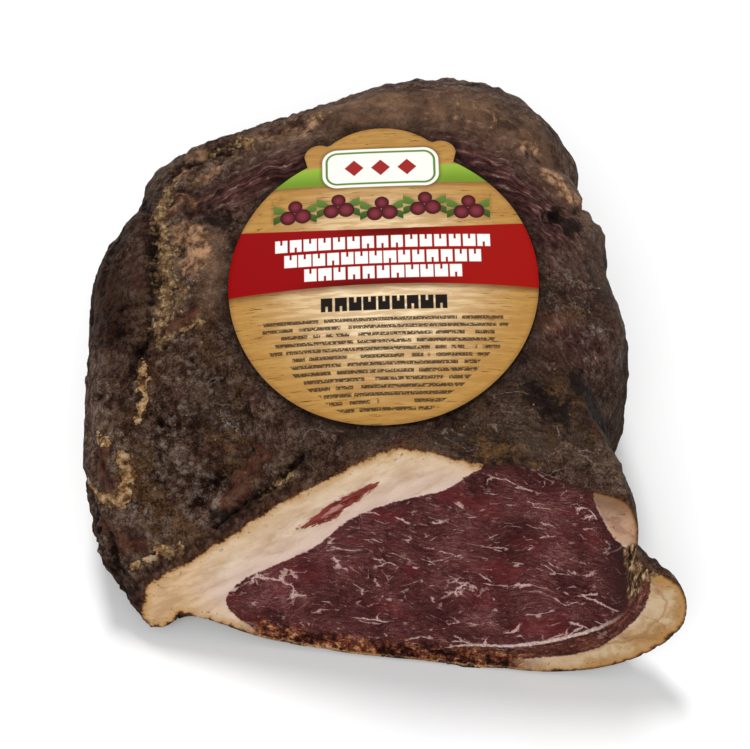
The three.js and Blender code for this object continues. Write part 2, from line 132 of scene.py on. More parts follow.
# Marks of the crust by what they look like: a path through each, its half width, and how strong it is
MARKS = {
    "tan": [
        ([(-41, 56, 67), (-30, 59, 69), (-20, 63, 71)], 6, 0.6),
        ([(-57, 42, 65), (-50, 46, 67)], 2.6, 1.0),
        ([(-62, 50, 61), (-61, 46, 63)], 3, 1.1),
        ([(-61, 57, 59), (-54, 54, 64)], 3.4, 0.8),
        ([(-60, 22, 67), (-56, 18, 69), (-55, 12, 70), (-57, 9, 69)], 4.2, 1.7),
        ([(-64, 33, 65), (-61, 37, 64), (-57, 31, 68)], 2.6, 0.7),
        ([(-61, 5, 66), (-59, 1, 67)], 2.2, 0.8),
        ([(43, 49, 75), (47, 51, 71)], 3, 0.9),
        ([(52, 42, 71), (55, 37, 70), (59, 35, 66)], 4.0, 1.1),
        ([(15, 58, 79), (30, 59, 78), (43, 56, 74)], 9, 0.35),
    ],
    "crumb": [
        ([(-65, 44, 61), (-67, 38, 63), (-68, 32, 64), (-67, 24, 65), (-65, 16, 65)], 3.0, 0.85),
        ([(-65, 16, 65), (-65, 7, 64), (-64, 1, 63), (-66, -7, 61)], 3.8, 0.85),
        ([(-59, 0, 67), (-61, -5, 64)], 2.4, 0.8),
        ([(-66, -13, 59), (-60, -12, 64), (-54, -10, 67)], 1.5, 0.8),
        ([(-52, 56, 65), (-40, 58, 67)], 2.4, 0.6),
        ([(-20, 63, 71), (-14, 66, 70)], 2, 0.6),
        ([(-36, -57, 45), (-31, -55, 49), (-27, -54, 52)], 1.5, 0.7),
    ],
    "scale": [
        ([(-71, -19, 56), (-71, -25, 55)], 2.2, 1.2),
        ([(-70, -28, 54), (-72, -34, 51)], 1.6, 1.1),
        ([(-88, -42, 30), (-85, -49, 33), (-81, -52, 34), (-78, -53, 35)], 2.2, 1.0),
        ([(-77, -43, 43), (-75, -48, 40), (-77, -52, 36)], 2.4, 1.15),
        ([(-85, -35, 41), (-82, -37, 44)], 2.0, 0.8),
        ([(-67, -64, 26), (-64, -66, 25), (-60, -65, 27)], 2.0, 1.2),
        ([(-75, -67, 20), (-71, -66, 23), (-67, -66, 24)], 1.1, 1.2),
    ],
    "rust": [
        ([(-77, 14, 61), (-73, 8, 62)], 4, 0.8),
        ([(-44, -56, 39), (-40, -51, 43), (-35, -46, 50)], 4.4, 1.2),
        ([(-64, -10, 61), (-60, -9, 64), (-56, -7, 66)], 3.0, 1.2),
        ([(-84, -39, 41), (-83, -45, 39), (-81, -49, 38)], 3.4, 1.2),
        ([(-83, -59, 28), (-72, -63, 26)], 4.6, 0.9),
        ([(-64, 33, 65), (-61, 37, 64), (-57, 31, 68)], 4.6, 1.2),
        ([(-51, 57, 64), (-43, 57, 67)], 5, 0.6),
    ],
    # dark: partly dark crust, partly painted shade along the furrows and the valley
    "dark": [
        ([(-52, 26, 71), (-47, 23, 72)], 5, 0.9),
        ([(-66, 36, 64), (-62, 41, 64), (-56, 37, 67), (-54, 30, 69)], 1.8, 0.8),
        ([(-51, 56, 65), (-44, 55, 67)], 3.4, 0.8),
        ([(-70, 24, 64), (-69, 8, 63), (-69, -4, 60)], 1.6, 0.8),
        ([(-49, -58, 36), (-44, -60, 38), (-37, -57, 45)], 2.6, 1.1),
        ([(44, 47, 73), (48, 48, 70)], 2.4, 0.6),
        ([(53, 27, 71), (56, 23, 70), (59, 24, 68)], 3.6, 1.1),
        ([(58, -29, 61), (61, -32, 57), (64, -37, 52), (67, -36, 42)], 5, 1.3),
        ([(44, -36, 67), (51, -40, 64)], 5.0, 1.1),
        ([(-86, -52, 28), (-80, -66, 18), (-74, -76, 10)], 6, 0.6),
        ([(-64, 50, 58), (-60, 44, 62)], 2, 0.8),
    ],
    # deep: painted shade over the left lobe, the back left and the right front, partly darker crust
    "deep": [
        ([(-76, 38, 50), (-82, 26, 52), (-83, 10, 54), (-80, -4, 54)], 12, 0.75),
        ([(-72, 30, 60), (-73, 12, 62), (-72, 0, 60)], 6, 0.5),
        ([(-44, 62, 60), (-60, 58, 52), (-70, 50, 46)], 9, 0.5),
        ([(54, -30, 65), (64, -38, 52)], 9, 0.3),
    ],
    "purple": [
        ([(-48, 32, 73), (-36, 38, 74), (-26, 43, 75)], 8, 1.0),
        ([(20, 43, 78), (30, 39, 77), (40, 31, 76), (52, 20, 71)], 9, 1.1),
        ([(49, -13, 69), (59, -16, 63), (65, -16, 60)], 7, 0.6),
        ([(53, 9, 71), (60, 6, 67)], 8, 0.4),
        ([(0, 47, 79), (10, 47, 79)], 5, 0.7),
    ],
    # smooth: calmer relief, painted milky brown that is partly a painted sheen on the top
    "smooth": [
        ([(-10, 66, 74), (15, 60, 79), (30, 60, 78), (47, 52, 70), (60, 38, 64)], 13, 1.0),
        ([(-50, 20, 71), (-50, 6, 70), (-50, -4, 68)], 5, 0.8),
        ([(-37, 54, 70), (-26, 54, 72)], 9, 0.5),
    ],
    "dusty": [
        ([(34, -52, 66), (51, -52, 62), (62, -40, 56)], 15, 1.0),
        ([(40, -38, 67), (54, -24, 65), (62, -4, 62), (66, 14, 56)], 15, 1.0),
        ([(-18, -46, 63), (5, -52, 68), (24, -50, 66)], 10, 0.9),
        ([(-48, -24, 61), (-46, -38, 53)], 9, 0.7),
        ([(72, -20, 30), (76, 0, 30), (76, 20, 30)], 22, 0.7),
    ],
    "olive": [
        ([(-73, -46, 41), (-69, -53, 35), (-61, -60, 30), (-55, -65, 29)], 7, 1.0),
        ([(-48, -41, 50), (-40, -42, 50)], 6, 0.6),
        ([(20, -54, 64), (34, -58, 65), (42, -58, 66)], 3.4, 0.6),
        ([(27, -54, 65), (34, -54, 66)], 4.5, 1.1),
        ([(48, -12, 70), (56, -8, 68)], 5, 1.0),
        ([(48, -34, 66), (60, -34, 60)], 6, 0.5),
    ],
    "bloom": [
        ([(-66, -46, 41), (-60, -45, 43), (-52, -51, 38), (-55, -55, 34)], 6, 1.0),
        ([(-65, -41, 47), (-58, -36, 52)], 5, 0.7),
        ([(-72, -54, 35), (-70, -56, 33)], 3, 1.0),
        ([(-49, -35, 55), (-46, -36, 54)], 3.4, 1.1),
        ([(-42, -39, 53), (-38, -42, 52)], 3.6, 1.1),
        ([(-84, 22, 54), (-83, 30, 53)], 4, 0.7),
        ([(-52, -62, 31), (-66, -58, 32)], 6, 0.5),
        ([(57, 2, 68), (62, -6, 64), (66, -16, 60)], 9, 0.7),
    ],
}

# Marks of each role on the sides that the camera doesn't see: size in mm, how rare, and how strong
SPREAD = {
    "tan": (15, 0.33, 0.7),
    "crumb": (15, 0.30, 0.8),
    "scale": (13, 0.38, 1.1),
    "rust": (19, 0.22, 1.0),
    "dark": (12, 0.26, 0.8),
    "purple": (30, 0.20, 0.9),
    "smooth": (34, 0.16, 0.7),
    "dusty": (30, 0.10, 0.8),
    "olive": (24, 0.14, 0.8),
    "bloom": (16, 0.18, 0.8),
}

# The label in its own axes: the sheet, its crown and the crown's shoulders as discs, across, up and radius
LABEL_CENTRE = (0.4, 0.2)
LABEL_TURN = math.radians(1.2)
LABEL_DISCS = [(0, 0, 46), (0, 30.8, 23), (-18.5, 43.8, 4.6), (18.5, 43.8, 4.6)]
LABEL_SHEET = 0.4
LABEL_RINGS = 40
LABEL_SPOKES = 288

# Places of the print, across or up from the middle of the label
GREEN_BAND = (33.0, 39.6)
RIBBON = (-1.8, 16.9)
RIBBON_CURL = 0.0008
HEADLINE = [(12.4, 32.3, 4.1, 15), (7.2, 29.5, 4.1, 14), (2.2, 23.7, 4.1, 11)]
TITLE = (-8.0, 19, 4.5, 9)
SMALL_PRINT = (-12.0, -42.3, 2.33)
PLAQUE = (0, 38.9, 17.6, 7.0)
GARLAND = (24.4, 13.0, 32.5)
GARLAND_SIZE = 1.22
# Berries of a bunch: across, up and radius. Leaves beside it: tilt in degrees, half length, half width and up
BERRIES = [(-1.7, -1.2, 2.0), (1.9, -0.9, 2.1), (0.1, 1.9, 1.8)]
LEAVES = [(24.064, 3.0, 1.05, 1.3), (-28.648, 2.9, 0.95, -1.6)]
LEAF_BASE = 4.6

# Size of the faces of the meat; the share of the underside's faces that goes, and the rim that keeps them
VOXEL = 0.97
UNDERSIDE_CUT = 0.93
UNDERSIDE_MARGIN = 3
# How near the cut or the table a point counts as on it, and neighbours count as next on the rim
ON_CUT = 0.55 * VOXEL
ON_TABLE = 0.3 * VOXEL
NEXT_ON_RIM = 1.7 * VOXEL
# Behind the cut the distance to its border is worked out down to a depth; what lies deeper counts as far
BORDER_DEPTH = 12
FAR_FROM_BORDER = 20.0
# Edges of the solid sharper than this stay, the flatter ones are rounded off
SHARP = math.radians(34)
# Which triangles of the solid are joined before it is rounded off
JOINED = {"angle_face_threshold": math.radians(20), "angle_shape_threshold": math.radians(60)}
# Points of the solid nearer than this are one, and the visual stays inside the solids' box by as much
TINY = 0.02

WORLD_LIGHT = 0.42
# Soft distant lights: direction that they come from, how wide they are in degrees, and strength
SUNS = {
    "back": ((-0.08, 0.60, 0.79), 14, 1.9),
    "front": ((-0.10, -0.62, 0.76), 44, 1.2),
}

PHOTO_WIDTH_PX = 750
CAMERA_FOCUS_PX = 2443
CAMERA_TARGET = (-2.07, -8.1, 35)
CAMERA_DISTANCE = 750
CAMERA_ELEVATION = math.radians(57)
TO_CAMERA = np.array([0, -math.cos(CAMERA_ELEVATION), math.sin(CAMERA_ELEVATION)])


def step(value, low, high):
    """0 below low, 1 above high and smooth between them, for arrays."""
    t = np.clip((value - low) / (high - low), 0, 1)
    return t * t * (3 - 2 * t)


def make_gradients(seed):
    rng = np.random.default_rng(seed)
    directions = rng.normal(size=(256, 3))
    return rng.permutation(256), directions / np.linalg.norm(directions, axis=1)[:, None]


SHUFFLE, GRADIENTS = make_gradients(seed=11)


def gradient_noise(points):
    """Smooth noise between about -0.7 and 0.7, with cells of size 1."""
    cell = np.floor(points).astype(int)
    inside = points - cell
    fade = inside**3 * (inside * (inside * 6 - 15) + 10)
    total = np.zeros(len(points))
    for corner in itertools.product((0, 1), repeat=3):
        a, b, c = ((cell + corner) & 255).T
        pick = SHUFFLE[(SHUFFLE[(SHUFFLE[a] + b) & 255] + c) & 255]
        weight = np.prod(np.where(corner, fade, 1 - fade), axis=1)
        total += weight * ((inside - corner) * GRADIENTS[pick]).sum(1)
    return total


def rough(points, size, octaves=3, shift=0.0):
    """Layered noise of that largest size in mm."""
    return sum(gradient_noise(points * 2**k / size + shift + 17.3 * k) / 2**k for k in range(octaves))


def ridges(points, size, shift=0.0):
    """Narrow crests between 0 and 1."""
    return (1 - np.abs(gradient_noise(points / size + shift)) * 2) ** 2


def path_distance(points, path):
    """Distance of points to the nearest stretch of a path."""
    corners = np.array(path, float)
    nearest = np.full(len(points), np.inf)
    for start, end in zip(corners, corners[1:]):
        along = end - start
        t = np.clip(((points - start) @ along) / (along @ along), 0, 1)
        nearest = np.minimum(nearest, np.linalg.norm(points - start - t[:, None] * along, axis=1))
    return nearest


def signed_distance(places, outline):
    """Distance of 2-D places to a closed outline, positive inside."""
    closed = np.vstack([outline, outline[:1]])
    nearest = path_distance(places, closed)
    inside = np.zeros(len(places), bool)
    for start, end in zip(closed, closed[1:]):
        spans = (start[1] > places[:, 1]) != (end[1] > places[:, 1])
        if end[1] != start[1]:
            climb = (places[:, 1] - start[1]) / (end[1] - start[1])
            inside ^= spans & (places[:, 0] < start[0] + climb * (end[0] - start[0]))
    return np.where(inside, nearest, -nearest)


def rounded(outline, rounds=2):
    """An outline with its corners cut twice, which makes it run round."""
    points = np.array(outline, float)
    for _ in range(rounds):
        after = np.roll(points, -1, axis=0)
        points = np.stack([0.75 * points + 0.25 * after, 0.25 * points + 0.75 * after], 1).reshape(-1, 2)
    return points


def label_reach(direction):
    """How far the label's edge lies from its centre, in directions given in its own axes."""
    reach = np.zeros_like(direction)
    for x, y, radius in LABEL_DISCS:
        along = x * np.cos(direction) + y * np.sin(direction)
        half = np.maximum(radius**2 - (x**2 + y**2 - along**2), 0)
        reach = np.maximum(reach, np.where(half > 0, along + np.sqrt(half), 0))
    return reach


def outside_label(points):
    """How far points lie outside the label's edge, seen from above."""
    x = points[:, 0] - LABEL_CENTRE[0]
    y = points[:, 1] - LABEL_CENTRE[1]
    return np.hypot(x, y) - label_reach(np.arctan2(y, x) - LABEL_TURN)


def read_points(mesh, kind="vertices", what="co"):
    items = getattr(mesh, kind)
    values = np.empty(len(items) * 3, np.float32)
    items.foreach_get(what, values)
    return values.reshape(-1, 3).astype(float)


def write_attribute(mesh, name, values):
    kind = "FLOAT" if values.ndim == 1 else "FLOAT_VECTOR"
    attribute = mesh.attributes.new(name, kind, "POINT")
    attribute.data.foreach_set("value" if values.ndim == 1 else "vector", values.astype(np.float32).ravel())


def add_object(name, mesh):
    obj = bpy.data.objects.new(name, mesh)
    bpy.context.scene.collection.objects.link(obj)
    return obj


def applied(obj):
    """The object's mesh with its modifiers applied; the modifiers go."""
    shaped = bpy.data.meshes.new_from_object(obj.evaluated_get(bpy.context.evaluated_depsgraph_get()))
    obj.modifiers.clear()
    obj.data = shaped
    return shaped


def read_edges(mesh):
    values = np.empty(len(mesh.edges) * 2, np.int32)
    mesh.edges.foreach_get("vertices", values)
    return values.reshape(-1, 2)


def rounded_solid(node, name):
    """A copy of a CAD node with its facets rounded off, its sharp edges kept, in even small faces."""
    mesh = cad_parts[node].data.copy()
    obj = add_object(name, mesh)
    bm = bmesh.new()
    bm.from_mesh(mesh)
    bmesh.ops.remove_doubles(bm, verts=bm.verts, dist=TINY * MM)
    bmesh.ops.join_triangles(bm, faces=bm.faces, **JOINED)
    crease = bm.edges.layers.float.new("crease_edge")
    for edge in bm.edges:
        if len(edge.link_faces) == 2 and edge.calc_face_angle() > SHARP:
            edge[crease] = 1
    bm.to_mesh(mesh)
    bm.free()
    obj.modifiers.new("smooth", "SUBSURF").levels = 2
    remesh = obj.modifiers.new("even", "REMESH")
    remesh.mode = "VOXEL"
    remesh.voxel_size = VOXEL * MM
    thin_underside(obj, applied(obj))
    return obj


def thin_underside(obj, mesh):
    """Fewer and larger faces on the flat underside, which carries no relief."""
    on_table = read_points(mesh)[:, 2] < ON_TABLE * MM
    edges = read_edges(mesh)
    inner = on_table.copy()
    for _ in range(UNDERSIDE_MARGIN):
        rim = edges[inner[edges[:, 0]] != inner[edges[:, 1]]]
        inner[rim.ravel()] = False
    group = obj.vertex_groups.new(name="underside")
    group.add(np.flatnonzero(inner).tolist(), 1.0, "REPLACE")
    thin = obj.modifiers.new("thin", "DECIMATE")
    thin.vertex_group = group.name
    thin.ratio = 1 - UNDERSIDE_CUT * inner.sum() / len(inner)
    applied(obj)
    obj.vertex_groups.clear()


def relaxed(points, edges, free, rounds, share=0.6):
    """Points moved by a share towards the mean of their neighbours along the edges, where they are free."""
    a, b = edges.T
    count = np.bincount(a, minlength=len(points)) + np.bincount(b, minlength=len(points))
    free = free * (count > 1)
    count = np.maximum(count, 1)
    for _ in range(rounds):
        sums = [np.bincount(a, p[b], len(p)) + np.bincount(b, p[a], len(p)) for p in points.T]
        points = points + free[:, None] * share * (np.stack(sums, 1) / count[:, None] - points)
    return points


def tree_of(points):
    tree = KDTree(len(points))
    for k, point in enumerate(points):
        tree.insert(point, k)
    tree.balance()
    return tree


def near_pairs(points, chosen):
    """Pairs of the chosen points that lie next to each other."""
    tree = tree_of(points[chosen])
    pairs = []
    for k, point in enumerate(points[chosen]):
        pairs += [(k, other) for _, other, _ in tree.find_range(point, NEXT_ON_RIM) if k < other]
    return chosen[np.array(pairs)]


def painted(points, role):
    """Strength of the marks of one role at each point."""
    total = np.zeros(len(points))
    for path, width, strength in MARKS[role]:
        total = np.maximum(total, strength * np.exp(-((path_distance(points, path) / width) ** 2)))
    return total


def spread_marks(points, unseen, role):
    """Strength of one role's marks on the sides that the camera doesn't see."""
    if role not in SPREAD:
        return 0
    size, rare, strength = SPREAD[role]
    return unseen * strength * step(rough(points, size, 3, 5.3 * len(role) + size), rare, rare + 0.16)


def crust_height(points, places, behind, label_gap, unseen):
    """Height of the crust over the rounded solid, in mm."""
    left = step(-points[:, 0], -10, 45)
    calm = np.maximum(painted(points, "smooth"), 0.8 * painted(points, "dusty"))
    rugged = (1 - 0.8 * np.clip(calm, 0, 1)) * (0.4 + 0.6 * left)
    rugged *= 1 - 0.45 * step(-points[:, 0], 62, 74) * step(points[:, 1], -16, 4)
    warped = points + 2.5 * np.stack([rough(points, 9, 2, s) for s in (3, 7, 11)], 1)
    height = 0.85 * rough(warped, 8, 3)
    height += rugged * (1.1 * (ridges(warped, 6.5, 2) - 0.45) + 0.8 * rough(warped, 3.8, 2, 5))
    pits = step(rough(warped, 5.5, 2, 21), 0.3, 0.55)
    height -= 1.3 * rugged * pits
    # The right side is combed by the fibres of the lean meat under it
    combed = points * np.array([0.35, 1.6, 0.8]) + np.array([0.9, 0.5, 0])[None, :] * points[:, 1:2] * 0.4
    height += (1 - left) * 0.34 * rough(combed, 5, 2, 9)
    # Folds and hollows of the sides and the back
    broad = points + 5 * np.stack([rough(points, 24, 2, s) for s in (59, 67, 73)], 1)
    height += unseen * (1.9 * (ridges(broad, 21, 3) - 0.4) - 1.5 * step(rough(broad, 17, 2, 71), 0.22, 0.5))
    wander = points + 2.4 * np.stack([rough(points, 5.5, 2, s) for s in (43, 47, 53)], 1)
    uneven = 1 + 0.9 * rough(points, 7, 2, 61)
    for path, width, rise in FOLDS:
        narrow = width * (0.62 if rise < 0 else 0.9)
        height += rise * uneven * np.exp(-((path_distance(wander, path) / narrow) ** 2))
    free = step(label_gap, 0.5, 5) + (points[:, 2] < 45)
    # The crust stands up along the cut as a thin ragged lip
    lip = np.exp(-((behind / 1.6) ** 2)) * step(places[:, 1], 6, 14) * (1 - 0.85 * step(places[:, 0], 54, 64))
    height = height * step(behind, 0.4, 5) + lip * 0.5 * rough(points, 3, 2, 31)
    return np.clip(free, 0, 1) * height * step(points[:, 2], 0.8, 7)


def make_meat():
    meat = rounded_solid("ham", "meat")
    mesh = meat.data
    points = read_points(mesh) / MM
    edges = read_edges(mesh)

    behind = -(points - CUT_FOOT) @ OUT_OF_CUT
    on_cut = behind < ON_CUT
    on_table = points[:, 2] < ON_TABLE
    points[on_cut] += behind[on_cut, None] * OUT_OF_CUT
    rim = np.zeros(len(points), bool)
    rim[edges[on_cut[edges[:, 0]] != on_cut[edges[:, 1]]].ravel()] = True
    rim &= on_cut
    points = relaxed(points, near_pairs(points, np.flatnonzero(rim)), rim, rounds=12)
    points = relaxed(points, edges, ~(rim | on_table), rounds=3)
    mesh.vertices.foreach_set("co", (points * MM).astype(np.float32).ravel())
    mesh.update()

    normals = read_points(mesh, "vertex_normals", "vector")
    places = np.stack([(points - CUT_FOOT) @ ACROSS, (points - CUT_FOOT) @ UP_CUT], 1)
    behind = -(points - CUT_FOOT) @ OUT_OF_CUT
    on_cut = on_cut & (normals @ OUT_OF_CUT > 0.6)

    # Border between cut and crust, and the distance of every point to it: positive on the cut
    crossing = on_cut[edges[:, 0]] != on_cut[edges[:, 1]]
    border = np.unique(edges[crossing][on_cut[edges[crossing]]])
    tree = tree_of(points[border])
    near = behind < BORDER_DEPTH
    from_border = np.full(len(points), FAR_FROM_BORDER)
    from_border[near] = [tree.find(p)[2] for p in points[near]]
    edge = np.where(on_cut, from_border, -from_border)

    regions = {name: signed_distance(places, rounded(outline)) for name, outline in REGIONS.items()}
    lean = regions["lean"]
    label_gap = outside_label(points)
    unseen = step(0.16 - normals @ TO_CAMERA, 0, 0.3) * ~on_cut
    height = np.where(on_cut, 0, crust_height(points, places, behind, label_gap, unseen))
    # On the cut the lean has dried in a little, and the crusty foot and the notch are torn
    sunk = 0.35 * step(lean, -0.4, 1.6) + 0.12 * rough(points, 4, 2, 41)
    lobes = rough(points + 3 * rough(points, 11, 2, 83)[:, None], 8, 2, 87)
    sunk += step(-lean, 0, 3) * (0.45 * lobes + 0.12)
    foot = step(9 - places[:, 1], 0, 6) * step(42 - places[:, 0], 0, 20)
    torn = np.clip(foot + step(regions["notch"], -2, 1), 0, 1)
    ragged = 0.9 * (0.6 + rough(points * [1, 1, 2.4], 3.6, 3, 51))
    cut_height = -(sunk + torn * ragged) * step(edge, 0.2, 1.6)
    height = np.where(on_cut, cut_height, height)

    low, high = (np.array(corner) / MM for corner in cad_box)
    moved = points + normals * height[:, None]
    moved[on_table] = points[on_table] * [1, 1, 0]
    moved = np.clip(moved, low + TINY, high - TINY)
    mesh.vertices.foreach_set("co", (moved * MM).astype(np.float32).ravel())
    mesh.update()
    mesh.shade_smooth()

    attributes = {
        "edge": edge,
        "height": height,
        "label_gap": label_gap,
        "steep": step(0.45 - normals[:, 2], 0, 0.4),
        "on_cut": np.column_stack([places, behind]),
    }
    marks = {role: painted(points, role) + spread_marks(points, unseen, role) for role in MARKS}
    for name, values in (attributes | regions | marks).items():
        write_attribute(mesh, name, values)
    mesh.materials.clear()
    mesh.materials.append(meat_material())
    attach(meat, "root")
    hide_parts("ham")


def linear(colour):
    """A colour as the shader wants it, from red, green and blue between 0 and 255."""
    return [((c / 255 + 0.055) / 1.055) ** 2.4 if c > 10 else c / 255 / 12.92 for c in colour]


class Graph:
    """The node tree of a material. Most methods add nodes and give their output; over changes the colour."""

    def __init__(self, name):
        self.colour = None
        self.material = bpy.data.materials.new(name)
        self.material.use_nodes = True
        self.tree = self.material.node_tree
        self.tree.nodes.clear()

    def feed(self, socket, value):
        if isinstance(value, bpy.types.NodeSocket):
            self.tree.links.new(value, socket)
        elif value is not None:
            socket.default_value = value

    def node(self, kind, inputs=(), **settings):
        made = self.tree.nodes.new("ShaderNode" + kind)
        for key, value in settings.items():
            setattr(made, key, value)
        for key, value in dict(inputs).items():
            self.feed(made.inputs[key], value)
        return made

    def wired(self, kind, *values, **settings):
        """The first output of a node whose inputs are fed in their order."""
        made = self.node(kind, **settings)
        for socket, value in zip(made.inputs, values):
            self.feed(socket, value)
        return made.outputs[0]

    def math(self, operation, *values, clamp=False):
        return self.wired("Math", *values, operation=operation, use_clamp=clamp)

    def chain(self, operation, values):
        total, *others = values
        for value in others:
            total = self.math(operation, total, value)
        return total

    def add(self, *values):
        """The sum. What stands together in brackets is multiplied first."""
        return self.chain("ADD", [self.times(*v) if isinstance(v, tuple) else v for v in values])

    def times(self, *values):
        return self.chain("MULTIPLY", values)

    def most(self, *values):
        return self.chain("MAXIMUM", values)

    def least(self, *values):
        return self.chain("MINIMUM", values)

    def less(self, a, b):
        return self.math("SUBTRACT", a, b)

    def rest(self, share):
        return self.less(1.0, share)

    def square(self, value):
        return self.math("POWER", value, 2.0)

    def fraction(self, value):
        return self.math("FRACT", value)

    def share(self, a, b):
        """The product, kept between 0 and 1."""
        return self.math("MULTIPLY", a, b, clamp=True)

    def absolute(self, value):
        return self.math("ABSOLUTE", value)

    def beyond(self, value, middle, half):
        """How far a value lies outside a stretch, negative inside."""
        return self.less(self.absolute(self.less(value, middle)), half)

    def length(self, x, y):
        return self.math("SQRT", self.add(self.square(x), self.square(y)))

    def turned(self, x, y, angle):
        """Places along and off a direction that climbs by that angle in degrees."""
        cos, sin = math.cos(math.radians(angle)), math.sin(math.radians(angle))
        return self.add((x, cos), (y, sin)), self.less(self.times(y, cos), self.times(x, sin))

    def step(self, value, low, high, bottom=0.0, top=1.0):
        """From bottom to top as the value goes from low to high, smoothly."""
        return self.wired("MapRange", value, low, high, bottom, top, interpolation_type="SMOOTHSTEP")

    def value(self, name):
        return self.node("Attribute", attribute_name=name).outputs["Fac"]

    def place(self, name):
        return self.node("Attribute", attribute_name=name).outputs["Vector"]

    def split(self, vector):
        return self.node("SeparateXYZ", {"Vector": vector}).outputs

    def vector(self, x, y, z=0.0):
        return self.wired("CombineXYZ", x, y, z)

    def stretch(self, vector, by, shift=(0, 0, 0)):
        return self.wired("VectorMath", vector, by, shift, operation="MULTIPLY_ADD")

    def warp(self, vector, size, by):
        """The vector pushed about by noise of that size."""
        colour = self.node("TexNoise", {"Vector": vector, "Scale": 1 / size, "Detail": 2}).outputs["Color"]
        push = self.stretch(colour, (2 * by,) * 3, (-by,) * 3)
        return self.wired("VectorMath", vector, push, operation="ADD")

    def noise(self, vector, size, detail=3, roughness=0.55, distortion=0.0):
        inputs = {"Vector": vector, "Scale": 1 / size, "Detail": detail, "Roughness": roughness}
        return self.node("TexNoise", {**inputs, "Distortion": distortion}).outputs["Fac"]

    def cells(self, vector, size, feature="F1"):
        inputs = {"Vector": vector, "Scale": 1 / size}
        return self.node("TexVoronoi", inputs, feature=feature).outputs["Distance"]

    def mix(self, share, a, b):
        made = self.node("Mix", data_type="RGBA")
        self.feed(made.inputs[0], share)
        for socket, colour in ((made.inputs[6], a), (made.inputs[7], b)):
            self.feed(socket, (*linear(colour), 1) if isinstance(colour, tuple) else colour)
        return made.outputs[2]

    def between(self, value, low, high, a, b):
        """Colour a that turns into b as the value goes from low to high."""
        return self.mix(self.step(value, low, high), a, b)

    def over(self, colour, *shares):
        """Paints a colour over what is there, as thick as the product of the shares."""
        self.colour = self.mix(self.times(*shares), self.colour, colour)

    def ramp(self, value, *stops):
        made = self.node("ValToRGB", {"Fac": value})
        elements = made.color_ramp.elements
        while len(elements) < len(stops):
            elements.new(1)
        for element, (place, *colour) in zip(elements, stops):
            element.position = place
            element.color = (*linear(colour), 1)
        return made.outputs["Color"]

    def bump(self, height, distance, strength=1.0, normal=None):
        inputs = {"Height": height, "Distance": distance * MM, "Strength": strength, "Normal": normal}
        return self.node("Bump", inputs).outputs[0]

    def surface(self, colour, roughness, normal, **constants):
        shader = self.node("BsdfPrincipled", {"Base Color": colour, "Roughness": roughness, "Normal": normal})
        for key, value in constants.items():
            shader.inputs[key.replace("_", " ")].default_value = value
        out = self.node("OutputMaterial")
        self.tree.links.new(shader.outputs[0], out.inputs["Surface"])
        return self.material


def mark(g, role, tear, amount, low, high, most=1.0):
    """Where marks of one role show: the painted strength with noise added, between two limits."""
    strength = g.value(role)
    torn = g.add(strength, (g.less(tear, 0.5), amount))
    return g.times(g.step(torn, low, high), g.step(strength, 0.05, 0.25), most)


